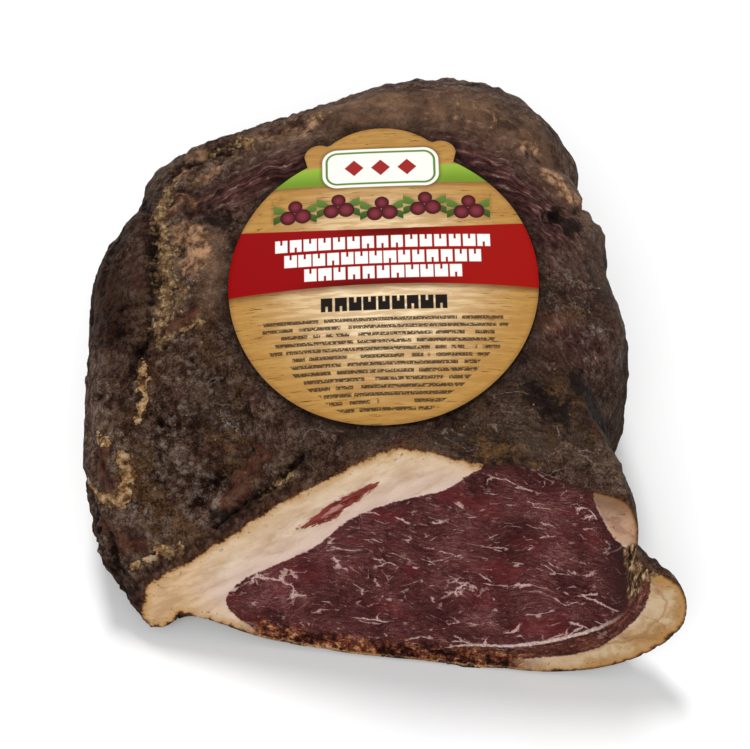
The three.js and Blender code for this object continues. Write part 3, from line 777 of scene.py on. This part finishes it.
def crust_colour(g, spot, height, crags):
    """Smoked and dried crust: mottled from black over brown to ochre, with marks, a whitish bloom, painted
    shade and painted glints.
    """
    warped = g.warp(spot, 7, 2.2)
    broad = g.noise(warped, 19, 3)
    mottle = g.noise(warped, 4.4, 6, 0.66, 0.4)
    grain = g.noise(spot, 0.9, 4, 0.72)
    salt = g.noise(spot, 0.45, 2, 0.6)
    # The height term makes raised crust lighter and its hollows darker: painted light and shade
    tone = g.add((broad, 0.22), (mottle, 0.14), (crags, 0.34), (grain, 0.19), (salt, 0.13), (height, 0.03))
    g.colour = g.ramp(
        tone, (0.368, 14, 5, 3), (0.436, 38, 22, 13), (0.488, 63, 43, 33), (0.548, 98, 76, 63),
        (0.612, 142, 120, 105),
    )
    cracks = g.step(g.cells(g.warp(spot, 3, 1.2), 7, "DISTANCE_TO_EDGE"), 0.035, 0.0)
    g.over((18, 10, 7), cracks, g.step(g.noise(spot, 6, 2), 0.44, 0.56), 0.7)

    dust = g.add((g.noise(warped, 15, 5, 0.6), 0.36), (mottle, 0.26), (grain, 0.24), (salt, 0.14))
    dusty = g.ramp(dust, (0.38, 14, 6, 3), (0.455, 36, 23, 15), (0.55, 63, 47, 37), (0.64, 101, 82, 68))
    bluish = g.times(g.step(g.noise(warped, 6, 5, 0.7), 0.52, 0.64), g.step(grain, 0.36, 0.58), 0.3)
    dusty = g.mix(bluish, dusty, (59, 55, 53))
    g.over(dusty, g.share(g.value("dusty"), g.step(broad, 0.30, 0.46)))
    on_dusty = g.least(g.value("dusty"), 1.0)
    x, y, z = g.split(warped)
    slant = g.stretch(g.vector(g.add(x, (y, 0.5)), y), (1.4, 1.2, 1))
    g.over((24, 15, 12), veins(g, slant, 12, 0.9, -0.02), on_dusty, 0.6)
    hair = veins(g, g.stretch(warped, (1.3, 1.3, 0.8)), 9, 0.26, 0.0)
    g.over((134, 119, 110), hair, on_dusty, 0.6)

    ochre = g.times(g.step(g.noise(warped, 10, 5, 0.65), 0.50, 0.64), g.step(grain, 0.38, 0.60))
    g.over((89, 63, 34), ochre, 0.5)
    reds = g.times(g.step(g.noise(warped, 13, 4, 0.6, 0.3), 0.53, 0.68), 0.55)
    g.over(g.between(grain, 0.35, 0.65, (34, 14, 10), (82, 48, 39)), reds)
    flecked = g.add((grain, 0.45), (mottle, 0.45), (salt, 0.1))
    olive = g.between(flecked, 0.41, 0.60, (43, 27, 14), (108, 76, 43))
    g.over(olive, mark(g, "olive", mottle, 2.8, 0.3, 1.0, 0.7))

    patchy = g.noise(warped, 3.4, 6, 0.7)
    # Milky brown on the smooth crust: partly its own tone, partly a painted sheen where the top tilts back
    # towards the light
    milky_sheen = g.add((g.noise(warped, 10, 4, 0.55), 0.55), (mottle, 0.33), (grain, 0.12))
    milky_sheen = g.ramp(milky_sheen, (0.38, 56, 40, 31), (0.47, 88, 64, 48), (0.55, 109, 81, 61), (0.64, 134, 105, 81))
    g.over(milky_sheen, g.share(g.value("smooth"), 0.9))
    # Fibres of the lean meat run round a point in front of the label
    ahead = g.add(y, 50.0)
    turn = g.times(g.math("ARCTAN2", x, ahead), 80.0)
    radius = g.length(x, ahead)
    fibres = g.noise(g.vector(g.times(turn, 0.2), radius, g.times(z, 0.6)), 1.3, 4, 0.66)
    dried = g.ramp(fibres, (0.38, 38, 19, 19), (0.52, 80, 47, 44), (0.61, 110, 75, 68), (0.68, 155, 128, 118))
    g.over(dried, g.share(g.value("purple"), g.step(mottle, 0.2, 0.5)))
    rust = g.between(mottle, 0.34, 0.64, (34, 17, 12), (105, 64, 47))
    g.over(rust, mark(g, "rust", patchy, 2.4, 0.25, 0.85, 0.85))
    tan = g.between(patchy, 0.38, 0.62, (85, 58, 40), (188, 145, 110))
    g.over(tan, mark(g, "tan", mottle, 2.2, 0.35, 0.95, 0.92))
    # Painted shade, partly darker crust, where the deep marks lie; the bloom is thinner there
    shadowy = g.between(tone, 0.43, 0.57, (9, 3, 2), (61, 38, 27))
    deep = g.share(g.value("deep"), 1.4)
    g.over(shadowy, deep)
    # Dark marks: partly dark crust, partly painted shade in the furrows
    g.over((20, 13, 11), mark(g, "dark", g.noise(warped, 2.6, 4), 2.4, 0.3, 0.9, 0.85))
    grains = g.step(g.cells(g.warp(spot, 2, 0.5), 1.6), 0.85, 0.15)
    crumbs = g.add((g.noise(spot, 3.0, 4, 0.6), 0.52), (grains, 0.22), (grain, 0.26))
    g.over((69, 51, 35), mark(g, "crumb", crumbs, 3.2, 0.1, 0.6, 0.7))
    pale = g.add((g.noise(spot, 2.1, 5, 0.7), 0.75), (salt, 0.25))
    pale = g.ramp(pale, (0.40, 80, 55, 33), (0.50, 142, 109, 72), (0.62, 200, 172, 130))
    g.over(pale, mark(g, "crumb", crumbs, 3.2, 0.3, 0.85, 0.85))
    g.over((41, 27, 18), mark(g, "scale", patchy, 4.2, 0.35, 0.5, 0.8))
    buff = g.add((g.noise(spot, 2.4, 5, 0.68), 0.8), (grain, 0.2))
    buff = g.ramp(buff, (0.38, 63, 43, 25), (0.47, 134, 95, 58), (0.54, 188, 149, 103), (0.62, 218, 192, 158))
    g.over(buff, mark(g, "scale", patchy, 4.2, 0.55, 0.70, 0.95))

    # Whitish bloom on the raised crust, partly painted glints; the tan sparkle is painted glints too
    bloom_glint = g.step(g.add((crags, 0.4), (g.noise(spot, 0.8, 4, 0.8), 0.6)), 0.50, 0.62)
    cloud = g.step(g.noise(warped, 6, 5, 0.65), 0.44, 0.60)
    painted_haze = g.times(g.value("bloom"), g.step(cloud, -0.4, 1.0), 0.75)
    haze = g.add(painted_haze, (cloud, g.less(0.09, g.times(deep, 0.07))))
    g.over((149, 140, 134), bloom_glint, haze)
    sparkle = g.times(g.step(g.cells(spot, 3.2), 0.14, 0.05), g.step(mottle, 0.52, 0.6), 0.6)
    g.over((179, 149, 108), sparkle)
    # Painted shade: the steep sides of the crust are darker
    g.over((25, 15, 10), g.value("steep"), 0.38)
    # Painted shade in the low hollows of the crust's relief
    hollow_shade = g.times(g.step(height, -2.0, -0.2, 1.0, 0.0), g.step(crags, 0.62, 0.40, 0.25, 0.9))
    return g.mix(hollow_shade, g.colour, (20, 12, 9))


def veins(g, place, size, width, cover):
    """Thin branching lines, longest across the cut: stretches of the borders between drawn-out cells."""
    long_way = g.stretch(place, (0.42, 1, 1), (size, 2 * size, 0))
    border = g.cells(g.warp(long_way, 0.5 * size, 0.16 * size), size, "DISTANCE_TO_EDGE")
    shown = g.step(g.noise(long_way, 0.7 * size, 2, 0.5), 0.5 + cover, 0.6 + cover)
    ragged = g.step(g.noise(place, 1.1, 3, 0.65), 0.3, 0.7, 0.15, 1.85)
    thick = g.times(shown, ragged, width / size)
    return g.times(g.step(border, thick, g.times(thick, 0.2)), shown)


def lean_colour(g, cut):
    """Dried lean meat: dark purple brown with fine fibres, red patches and pale marbling."""
    swirl = g.warp(g.warp(cut, 34, 9), 6, 1.5)
    fibres = g.noise(g.stretch(swirl, (0.3, 1, 1)), 0.8, 5, 0.75)
    broad = g.noise(swirl, 13, 4)
    salt = g.noise(cut, 0.42, 2, 0.6)
    tone = g.add((fibres, 0.45), (broad, 0.32), (salt, 0.23))
    g.colour = g.ramp(tone, (0.38, 36, 11, 12), (0.46, 66, 28, 29), (0.53, 91, 48, 47), (0.62, 133, 88, 84))
    red = g.step(g.noise(g.stretch(swirl, (0.5, 1, 1)), 11, 3), 0.50, 0.68)
    g.over((111, 35, 35), red, 0.4)
    kinds = ((9.0, 0.36, 0.03, 1.0), (5.5, 0.28, 0.03, 0.75), (2.8, 0.20, 0.05, 0.4))
    lines = g.most(*(g.times(veins(g, swirl, *kind), strength) for *kind, strength in kinds))
    hair = g.noise(g.stretch(swirl, (0.25, 1, 1)), 1.2, 4, 0.7)
    fleck = g.times(g.step(hair, 0.60, 0.74), 0.4)
    pale = g.between(salt, 0.3, 0.7, (166, 124, 118), (221, 188, 179))
    return g.mix(g.math("MAXIMUM", lines, fleck, clamp=True), g.colour, pale), fibres


def fat_colour(g, cut, border, lean):
    """Fat of the cut: creamy, pinker near the lean and browned towards the crust."""
    across, up, _ = g.split(cut)
    # Streaks run along the band of fat, which climbs to the right
    along, off = g.turned(across, up, 33)
    band = g.warp(g.vector(g.times(along, 0.35), off), 5, 1.2)
    soft = g.noise(band, 5, 5, 0.6)
    g.colour = g.between(soft, 0.34, 0.66, (196, 163, 133), (231, 206, 182))
    g.over((223, 196, 184), g.step(lean, -9, -1), 0.6)
    g.over((226, 197, 158), g.step(border, 9, 3.5), 0.5)
    tip = g.step(across, -50, -64)
    g.over(g.between(soft, 0.36, 0.64, (191, 149, 105), (229, 191, 147)), tip, 0.75)
    flap = g.times(g.step(across, 48, 66), g.step(lean, -1, -8))
    blotch = g.noise(g.warp(cut, 8, 3), 7, 5, 0.6)
    flap_fat = g.ramp(blotch, (0.36, 147, 110, 69), (0.47, 184, 149, 106), (0.62, 206, 179, 142))
    g.over(flap_fat, flap, 0.9)
    g.over((170, 124, 74), flap, g.step(g.add(border, (g.less(blotch, 0.5), 14)), 6.5, 1.0), 0.7)
    fold = g.less(g.add(border, (g.less(g.noise(cut, 9, 3), 0.5), 9)), 6.5)
    g.over((149, 103, 58), g.step(g.absolute(fold), 0.9, 0.1), flap, 0.5)
    creases = veins(g, g.stretch(cut, (1.6, 1, 1)), 9, 0.34, -0.04)
    g.over((139, 91, 48), creases, g.most(flap, g.times(tip, 0.7)), 0.4)
    g.over((191, 144, 101), g.step(g.noise(band, 2.6, 5, 0.65, 0.4), 0.54, 0.68), 0.4)
    wedge = g.step(g.value("wedge"), -1.5, 1)
    dusky = g.between(blotch, 0.36, 0.62, (142, 103, 81), (194, 153, 125))
    dusky = g.mix(g.times(g.step(g.add(up, (blotch, 16)), 66, 73), 0.8), dusky, (95, 63, 45))
    g.over(dusky, wedge, 0.92)
    dots = g.times(g.step(g.noise(cut, 1.7, 3, 0.6), 0.61, 0.67), g.most(wedge, g.step(border, 5, 2)), 0.75)
    g.over((89, 53, 31), dots)
    g.over((188, 142, 82), g.step(border, 3.6, 0.6, 0.0, 0.7), g.rest(g.times(wedge, 0.8)))
    g.over((132, 87, 47), g.step(border, 1.2, 0.4, 0.0, 0.8))
    rind = g.between(across, 52, 64, (69, 41, 24), (103, 68, 41))
    return g.mix(g.step(border, 0.6, 0.1), g.colour, rind)


def meat_material():
    g = Graph("smoked_meat")
    spot = g.stretch(g.node("TexCoord").outputs["Object"], (1 / MM,) * 3)
    cut = g.place("on_cut")
    across, up, _ = g.split(cut)
    edge, lean, tail, height = (g.value(name) for name in ("edge", "lean", "tail", "height"))
    lumps = g.step(g.cells(g.warp(spot, 2.4, 0.9), 2.3), 0.85, 0.15)
    crags = g.add((g.noise(spot, 2.8, 6, 0.72, 0.3), 0.62), (g.noise(spot, 0.9, 4, 0.7), 0.2), (lumps, 0.2))
    ragged = g.less(g.noise(cut, 2.2, 5, 0.65), 0.5)
    fine = g.less(g.noise(cut, 0.9, 3, 0.6), 0.5)

    wavy = g.less(g.noise(cut, 8, 3), 0.5)
    torn = g.add((wavy, 5.0), (ragged, 3.0), (fine, 1.2))
    border = g.add(edge, (torn, g.step(across, 50, 64, 1.0, 0.12)))

    crust = crust_colour(g, spot, height, crags)
    beside_fat = g.most(g.step(across, 24, 0), g.step(across, 56, 64, 0.0, 1.5))
    band = g.times(g.step(border, -6.5, -3.5), g.step(across, -6, -40), 0.7)
    crust = g.mix(band, crust, g.between(crags, 0.4, 0.62, (31, 16, 11), (80, 52, 40)))
    singed = g.times(g.step(border, -2.6, -0.3), g.step(g.noise(spot, 1.5, 4, 0.7), 0.42, 0.60))
    crust = g.mix(g.times(singed, beside_fat, 0.6), crust, (99, 63, 38))
    meat, fibres = lean_colour(g, cut)
    fat = fat_colour(g, cut, border, lean)

    # Muscle, its thin curled neighbour, and the white skin between them
    lean_edge = g.add(lean, (ragged, 1.8), (fine, 0.8))
    tail_edge = g.add(tail, (ragged, 1.6), (fine, 0.8))
    in_lean = g.step(lean_edge, -0.25, 0.25)
    in_tail = g.step(tail_edge, -0.3, 0.3)
    skin = g.step(across, 2, 48, 0.25, 1.15)
    line = g.step(g.add(lean, skin, (ragged, 1.5)), -0.15, 0.2)
    line = g.times(line, g.step(across, 0, 6), g.step(up, 27, 15))
    g.colour = g.mix(g.most(in_lean, in_tail), fat, meat)
    curl = g.warp(g.vector(g.times(across, 0.3), g.times(tail, 1.4), g.times(up, 0.3)), 5, 0.8)
    strands = g.add((g.noise(curl, 1.7, 4, 0.7), 0.7), (g.noise(cut, 0.7, 3, 0.7), 0.3))
    frayed = g.add((strands, 0.7), (g.noise(g.warp(cut, 3, 1), 1.5, 5, 0.74), 0.3))
    frayed = g.ramp(frayed, (0.38, 22, 7, 6), (0.48, 64, 30, 24), (0.56, 118, 69, 52), (0.66, 191, 144, 115))
    g.over(frayed, in_tail, g.rest(in_lean), 0.7)
    sheath = g.between(fine, -0.2, 0.2, (181, 147, 137), (234, 212, 203))
    g.over(sheath, line, g.rest(in_lean), in_tail, 0.9)

    # Red streak in the fat, frayed along its length and pale in the middle
    along, off = g.turned(across, up, 37)
    strand = g.noise(g.warp(g.vector(g.times(along, 0.22), off), 4, 0.8), 1.1, 4, 0.65)
    streak = g.add(g.value("streak"), (g.less(strand, 0.5), 4.5), (fine, 0.8))
    crimson = g.between(strand, 0.35, 0.65, (93, 24, 22), (144, 68, 59))
    g.over(crimson, g.step(streak, 0.2, 0.7))
    middle = g.add(g.value("streak"), (g.less(strand, 0.5), 3.0))
    g.over((206, 162, 147), g.step(middle, 1.9, 2.4), 0.55)

    # Dark dried margin of the lean under the crust, and the crusty foot of the cut
    margin = g.add(edge, (ragged, 3))
    g.over((48, 24, 18), g.step(margin, 4.2, 0.4), in_lean, 0.75)
    right_rim = g.times(g.step(g.add(g.value("notch"), (ragged, 6)), -11, -1), in_lean, 0.8)
    g.over((47, 25, 22), right_rim)
    foot = g.times(g.step(g.add(edge, (ragged, 11)), 8.6, 3.6), g.step(up, 17, 9))
    foot = g.times(foot, g.step(across, -46, -36), g.step(across, 52, 36))
    lighter = g.step(g.noise(cut, 8, 2), 0.38, 0.62, -0.03, 0.09)
    crumbs = g.add((g.noise(g.warp(cut, 3, 1), 1.7, 5, 0.74), 0.72), (strands, 0.22), lighter)
    crumbs = g.ramp(crumbs, (0.39, 16, 5, 4), (0.48, 59, 25, 18), (0.56, 121, 66, 45), (0.66, 215, 158, 108))
    g.over(crumbs, foot)
    lower_rim = g.times(foot, g.step(g.add(edge, (ragged, 2)), 0.9, 0.5), 0.85)
    g.over(g.between(strands, 0.4, 0.6, (111, 72, 39), (200, 155, 105)), lower_rim)
    notch = g.step(g.add(g.value("notch"), (ragged, 3)), -0.8, 0.6)
    sinew = g.noise(g.stretch(g.warp(cut, 6, 1.6), (1.5, 0.3, 1)), 1.2, 4, 0.65)
    sinew = g.ramp(sinew, (0.38, 25, 16, 10), (0.47, 77, 55, 36), (0.55, 137, 104, 73), (0.66, 196, 170, 137))
    g.over(sinew, notch)

    # The crust creeps over the border of the cut
    on_face = g.step(border, -0.1, 0.35)
    g.colour = g.mix(on_face, crust, g.colour)
    # Painted shadow of the paper label, darkening the crust round its edge
    painted_label_shadow = g.times(g.step(g.value("label_gap"), 6, -1), g.step(g.split(spot)[2], 40, 55), 0.7)
    g.over((18, 10, 8), painted_label_shadow)

    wet = g.times(g.most(g.times(in_lean, 0.75), 0.55), on_face)
    shine = g.add(g.less(0.58, g.times(wet, 0.22)), (g.less(fibres, 0.5), 0.2))
    shine = g.less(shine, g.share(g.value("purple"), g.times(g.rest(on_face), 0.2)))
    calm = g.math("SUBTRACT", 1.0, g.times(g.most(g.value("smooth"), g.value("dusty")), 0.7), clamp=True)
    shine = g.add(shine, g.times(g.value("steep"), g.rest(on_face), 0.3))
    crust_bump = g.bump(crags, 3.2, g.times(g.rest(on_face), calm))
    normal = g.bump(fibres, 0.3, on_face, crust_bump)
    return g.surface(g.colour, shine, normal, Specular_IOR_Level=0.04)


def make_label():
    """The paper sheet: two faces over a polar grid that follow the CAD label, and a rounded rim."""
    vertices = read_points(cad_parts["label"].data)
    faces = [tuple(p.vertices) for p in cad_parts["label"].data.polygons]
    solid = BVHTree.FromPolygons([Vector(v) for v in vertices], faces)
    above = vertices[:, 2].max() + 0.01
    directions = np.arange(LABEL_SPOKES) / LABEL_SPOKES * 2 * math.pi
    reach = label_reach(directions)
    shares = np.linspace(0, 1, LABEL_RINGS + 1)[1:]
    outward = np.stack([np.cos(directions), np.sin(directions)], 1)
    local = np.concatenate([[[0, 0]]] + [outward * (reach * s)[:, None] for s in shares])
    cos, sin = math.cos(LABEL_TURN), math.sin(LABEL_TURN)
    turn = np.array([[cos, sin], [-sin, cos]])
    plan = local @ turn + LABEL_CENTRE
    inside = local * 0.995 @ turn + LABEL_CENTRE
    height = smooth_sheet(np.array([top_of(solid, x, y, above) for x, y in inside]))
    top = np.column_stack([plan, height])
    rim_pull = 0.25 * LABEL_SHEET
    outer = slice(1 + (LABEL_RINGS - 1) * LABEL_SPOKES, None)
    inward = -(local[outer] / np.linalg.norm(local[outer], axis=1)[:, None]) @ turn
    top[outer, :2] += inward * rim_pull
    top[outer, 2] -= rim_pull
    edge = top[outer].copy()
    edge[:, :2] -= inward * rim_pull
    edge[:, 2] -= 0.5 * LABEL_SHEET - rim_pull
    bottom = top - [0, 0, LABEL_SHEET]
    bottom[outer, 2] += 2 * rim_pull
    points = np.concatenate([top, edge, bottom])
    count = len(top)
    quads = []

    def strip(first, second, flip):
        for k in range(LABEL_SPOKES):
            n = (k + 1) % LABEL_SPOKES
            quad = (first + k, second + k, second + n, first + n)
            quads.append(quad[::-1] if flip else quad)

    below = count + LABEL_SPOKES
    for base, flip in ((0, False), (below, True)):
        for k in range(LABEL_SPOKES):
            fan = (base, base + 1 + k, base + 1 + (k + 1) % LABEL_SPOKES)
            quads.append(fan[::-1] if flip else fan)
        for ring in range(LABEL_RINGS - 1):
            strip(base + 1 + ring * LABEL_SPOKES, base + 1 + (ring + 1) * LABEL_SPOKES, flip)
    rim = 1 + (LABEL_RINGS - 1) * LABEL_SPOKES
    strip(rim, count, False)
    strip(count, below + rim, False)
    mesh = bpy.data.meshes.new("label_sheet")
    mesh.from_pydata([tuple(p) for p in points * MM], [], quads)
    mesh.shade_smooth()
    places = np.concatenate([local, local[outer], local])
    write_attribute(mesh, "print", np.column_stack([places, points[:, 2]]))
    reach_left = np.concatenate([np.zeros(1)] + [reach * (1 - s) for s in shares])
    reach_left[0] = LABEL_DISCS[0][2]
    write_attribute(mesh, "to_edge", np.concatenate([reach_left, reach_left[outer], reach_left]))
    mesh.materials.append(label_material())
    label = add_object("paper_label", mesh)
    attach(label, "root")
    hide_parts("label")


def top_of(solid, x, y, above):
    """Height of a solid at a place seen from above, or beside it where the place is just off its edge."""
    hit = solid.ray_cast(Vector((x * MM, y * MM, above)), Vector((0, 0, -1)))[0]
    if hit is None:
        hit = solid.find_nearest(Vector((x * MM, y * MM, above)))[0]
    return hit[2] / MM


def smooth_sheet(height, rounds=12):
    """Heights on the polar grid with the facets of the solid evened out."""
    grid = height[1:].reshape(LABEL_RINGS, LABEL_SPOKES)
    for _ in range(rounds):
        inner = np.vstack([np.full(LABEL_SPOKES, grid[0].mean()), grid[:-1]])
        outer = np.vstack([grid[1:], 2 * grid[-1] - grid[-2]])
        around = np.roll(grid, 4, axis=1) + np.roll(grid, -4, axis=1)
        grid = 0.5 * grid + 0.125 * (inner + outer + around)
    return np.concatenate([[grid[0].mean()], grid.ravel()])


def box_shape(g, x, y, middle, half, corner):
    """Signed distance to a rounded box, negative inside."""
    dx = g.beyond(x, middle[0], half[0] - corner)
    dy = g.beyond(y, middle[1], half[1] - corner)
    outside = g.length(g.most(dx, 0.0), g.most(dy, 0.0))
    return g.less(g.add(outside, g.least(g.most(dx, dy), 0.0)), corner)


def filled(g, distance, blur=0.12):
    return g.step(distance, blur, -blur)


def blocks(g, x, y, row, half, height, count):
    """A row of notched blocks as heavy as bold print."""
    pitch = 2 * half / count
    places = g.math("DIVIDE", g.add(x, half), pitch)
    cell = g.vector(g.math("FLOOR", places), row)
    pick = g.node("TexWhiteNoise", {"Vector": cell}, noise_dimensions="3D").outputs[0]
    within = g.less(g.fraction(places), 0.5)
    width = g.step(pick, 0.0, 1.0, 0.40, 0.46)
    across = g.times(g.less(g.absolute(within), width), pitch)
    along = g.beyond(y, row, height / 2)
    ends = g.less(g.absolute(x), half)
    side = g.math("SIGN", g.less(g.fraction(g.times(pick, 7.0)), 0.5))
    notch = g.most(
        g.less(g.absolute(g.times(within, pitch)), pitch * 0.08),
        g.less(g.times(g.less(row, y), side), height * -0.12),
    )
    return filled(g, g.most(across, along, ends, g.times(notch, -1.0)))


def wood_colour(g, x, y, to_edge):
    """Pale planed wood with fine grain across, darker towards the label's edge."""
    place = g.vector(x, y)
    grain = g.noise(g.warp(g.stretch(place, (0.14, 1, 1)), 5, 0.6), 1.5, 5, 0.6)
    centre = g.length(x, g.add(y, 1.0))
    base = g.between(centre, 5, 44, (243, 219, 179), (179, 136, 72))
    g.colour = g.mix(g.step(grain, 0.42, 0.60, 0.8, 0.0), base, g.mix(0.6, base, (158, 111, 56)))
    ticks = g.noise(g.stretch(place, (0.13, 1.7, 1)), 0.9, 3, 0.6)
    pores = g.times(g.step(ticks, 0.60, 0.68), g.step(centre, 12, 42, 0.12, 0.9))
    g.over((93, 56, 22), pores)
    return g.mix(g.step(to_edge, 1.6, 0.0, 0.0, 0.35), g.colour, (129, 89, 48))


def garland(g, x, y):
    """A row of berries between pointed leaves, over the width of the label: masks of both."""
    middle, pitch, half = GARLAND
    cell = g.math("FLOOR", g.math("DIVIDE", g.add(x, pitch * 0.5), pitch))
    local = g.times(g.less(x, g.times(cell, pitch)), 1 / GARLAND_SIZE)
    parity = g.less(g.times(g.fraction(g.times(g.absolute(cell), 0.5)), 4.0), 1.0)
    up = g.times(g.less(y, g.add(middle, (parity, 0.7))), 1 / GARLAND_SIZE)
    discs = [g.less(g.length(g.less(local, bx), g.less(up, by)), radius) for bx, by, radius in BERRIES]
    leaves = []
    for tilt, length, width, lift in LEAVES:
        along, off = g.turned(g.less(g.absolute(local), LEAF_BASE), g.less(up, lift), tilt)
        span = g.most(g.rest(g.square(g.times(along, 1 / length))), 0.0)
        leaf = g.less(g.absolute(off), g.times(span, width))
        leaves.append(g.most(leaf, g.less(g.absolute(along), length)))
    inside = g.less(g.absolute(x), half)
    return g.most(g.least(*discs), inside), g.most(g.least(*leaves), inside), up


def label_material():
    g = Graph("printed_paper")
    x, y, _ = g.split(g.place("print"))
    to_edge = g.value("to_edge")
    g.colour = wood_colour(g, x, y, to_edge)

    low, high = GREEN_BAND
    green = g.most(g.less(low, y), g.less(y, high))
    shade = g.times(g.step(y, low - 2.2, low, 0.0, 0.6), g.step(y, low + 0.3, low))
    g.over((111, 75, 39), shade)
    lime = g.between(y, low, high, (108, 139, 39), (142, 173, 60))
    g.over(lime, filled(g, green))

    berries, leaves, lift = garland(g, x, y)
    leaf_green = g.between(lift, -3, 3, (53, 77, 29), (97, 124, 53))
    g.over((105, 75, 39), filled(g, g.less(leaves, 0.5), 0.7), 0.4)
    g.over(leaf_green, filled(g, leaves))
    berry = g.between(berries, -1.7, 0, (124, 47, 56), (66, 18, 25))
    g.over(berry, filled(g, berries))

    bow = g.times(g.square(x), RIBBON_CURL)
    over = g.less(y, g.add(RIBBON[1], bow))
    under = g.less(g.less(RIBBON[0], bow), y)
    drop = g.times(g.step(under, 2.6, 0.0, 0.0, 0.75), g.step(under, -0.5, 0.0))
    g.over((89, 53, 25), drop)
    hue = g.between(x, -30, 35, (142, 7, 10), (153, 18, 13))
    folds = g.most(
        g.times(g.step(g.absolute(g.less(x, 2.0)), 24, 2), g.step(over, -5, -0.4)),
        g.times(g.step(g.absolute(g.less(x, -2.0)), 30, 6), g.step(under, -3.4, -0.4)),
    )
    hue = g.mix(g.times(folds, 0.8), hue, (82, 3, 3))
    g.over(hue, filled(g, g.most(over, under)))
    for row in HEADLINE:
        g.over((243, 241, 236), blocks(g, x, y, *row))
    g.over((29, 24, 20), blocks(g, x, y, *TITLE))
    g.over((63, 48, 33), small_print(g, x, y))

    rim = box_shape(g, x, y, PLAQUE[:2], PLAQUE[2:], 4.6)
    g.over((85, 53, 29), filled(g, g.less(rim, 0.6), 0.9), 0.6)
    g.over((239, 235, 229), filled(g, rim))
    line = g.less(g.absolute(g.add(rim, 1.3)), 0.35)
    g.over((89, 129, 48), filled(g, line))
    beside = g.absolute(g.times(g.less(g.fraction(g.add((x, 1 / 8), 0.5)), 0.5), 8.0))
    diamonds = g.less(g.add(beside, g.absolute(g.less(y, PLAQUE[1]))), 2.9)
    g.over((153, 39, 39), filled(g, g.most(diamonds, g.less(g.absolute(x), 12.0))))

    fibre = g.noise(g.vector(x, y), 0.5, 2)
    return g.surface(g.colour, 0.5, g.bump(fibre, 0.02), Specular_IOR_Level=0.03)


def small_print(g, x, y):
    """Rows of fine broken dashes, as wide as the label leaves room for."""
    first, last, pitch = SMALL_PRINT
    rows = g.math("DIVIDE", g.less(first, y), pitch)
    row = g.math("FLOOR", rows)
    within = g.less(g.fraction(rows), 0.5)
    tall = g.less(g.times(g.absolute(within), pitch), 0.58)
    edge_pick = g.node("TexWhiteNoise", {"W": row}, noise_dimensions="1D").outputs[0]
    room = g.math("SQRT", g.most(g.less(LABEL_DISCS[0][2] ** 2, g.square(y)), 0.0))
    ends = g.less(g.absolute(x), g.less(room, g.add(6.5, (edge_pick, 3.5))))
    words = g.noise(g.vector(x, g.times(row, 31.7)), 3.4, 1, 0.3)
    letters = g.noise(g.vector(x, g.times(row, 17.9), y), 0.5, 2, 0.7)
    ink = g.times(g.step(words, 0.36, 0.39), g.step(letters, 0.36, 0.47))
    rows = g.times(g.step(y, first, first - 0.1), g.step(y, last, last + 0.1))
    return g.times(ink, filled(g, g.most(tall, ends), 0.16), rows, 0.92)


def make_floor():
    mesh = bpy.data.meshes.new("floor")
    half = 3.0
    corners = [(-half, -half, 0), (half, -half, 0), (half, half, 0), (-half, half, 0)]
    mesh.from_pydata(corners, [], [(0, 1, 2, 3)])
    g = Graph("pale_floor")
    tone = g.noise(g.node("TexCoord").outputs["Object"], 0.4, 2)
    mesh.materials.append(g.surface(g.mix(tone, (247, 247, 247), (249, 249, 249)), 0.8, None))
    floor = add_object("floor", mesh)
    floor.location.z = -0.2 * MM


def add_sun(name, toward, spread, strength):
    """A distant soft light that shines from the given direction."""
    light = bpy.data.lights.new(name, "SUN")
    light.angle = math.radians(spread)
    light.energy = strength
    obj = add_object(name, light)
    obj.rotation_euler = Vector(toward).to_track_quat("Z", "Y").to_euler()


def light_scene():
    world = bpy.data.worlds.new("studio")
    world.use_nodes = True
    background = world.node_tree.nodes["Background"]
    background.inputs["Color"].default_value = (1, 1, 1, 1)
    background.inputs["Strength"].default_value = WORLD_LIGHT
    bpy.context.scene.world = world
    for name, light in SUNS.items():
        add_sun(name, *light)
    bpy.context.scene.view_settings.view_transform = "Standard"


def place_camera():
    data = bpy.data.cameras.new("camera")
    data.sensor_width = 36
    data.lens = data.sensor_width * CAMERA_FOCUS_PX / PHOTO_WIDTH_PX
    camera = add_object("camera", data)
    target = Vector(CAMERA_TARGET) * MM
    back = Vector(TO_CAMERA)
    camera.location = target + back * CAMERA_DISTANCE * MM
    camera.rotation_euler = (-back).to_track_quat("-Z", "Y").to_euler()
    bpy.context.scene.camera = camera


make_meat()
make_label()
make_floor()
light_scene()
place_camera()
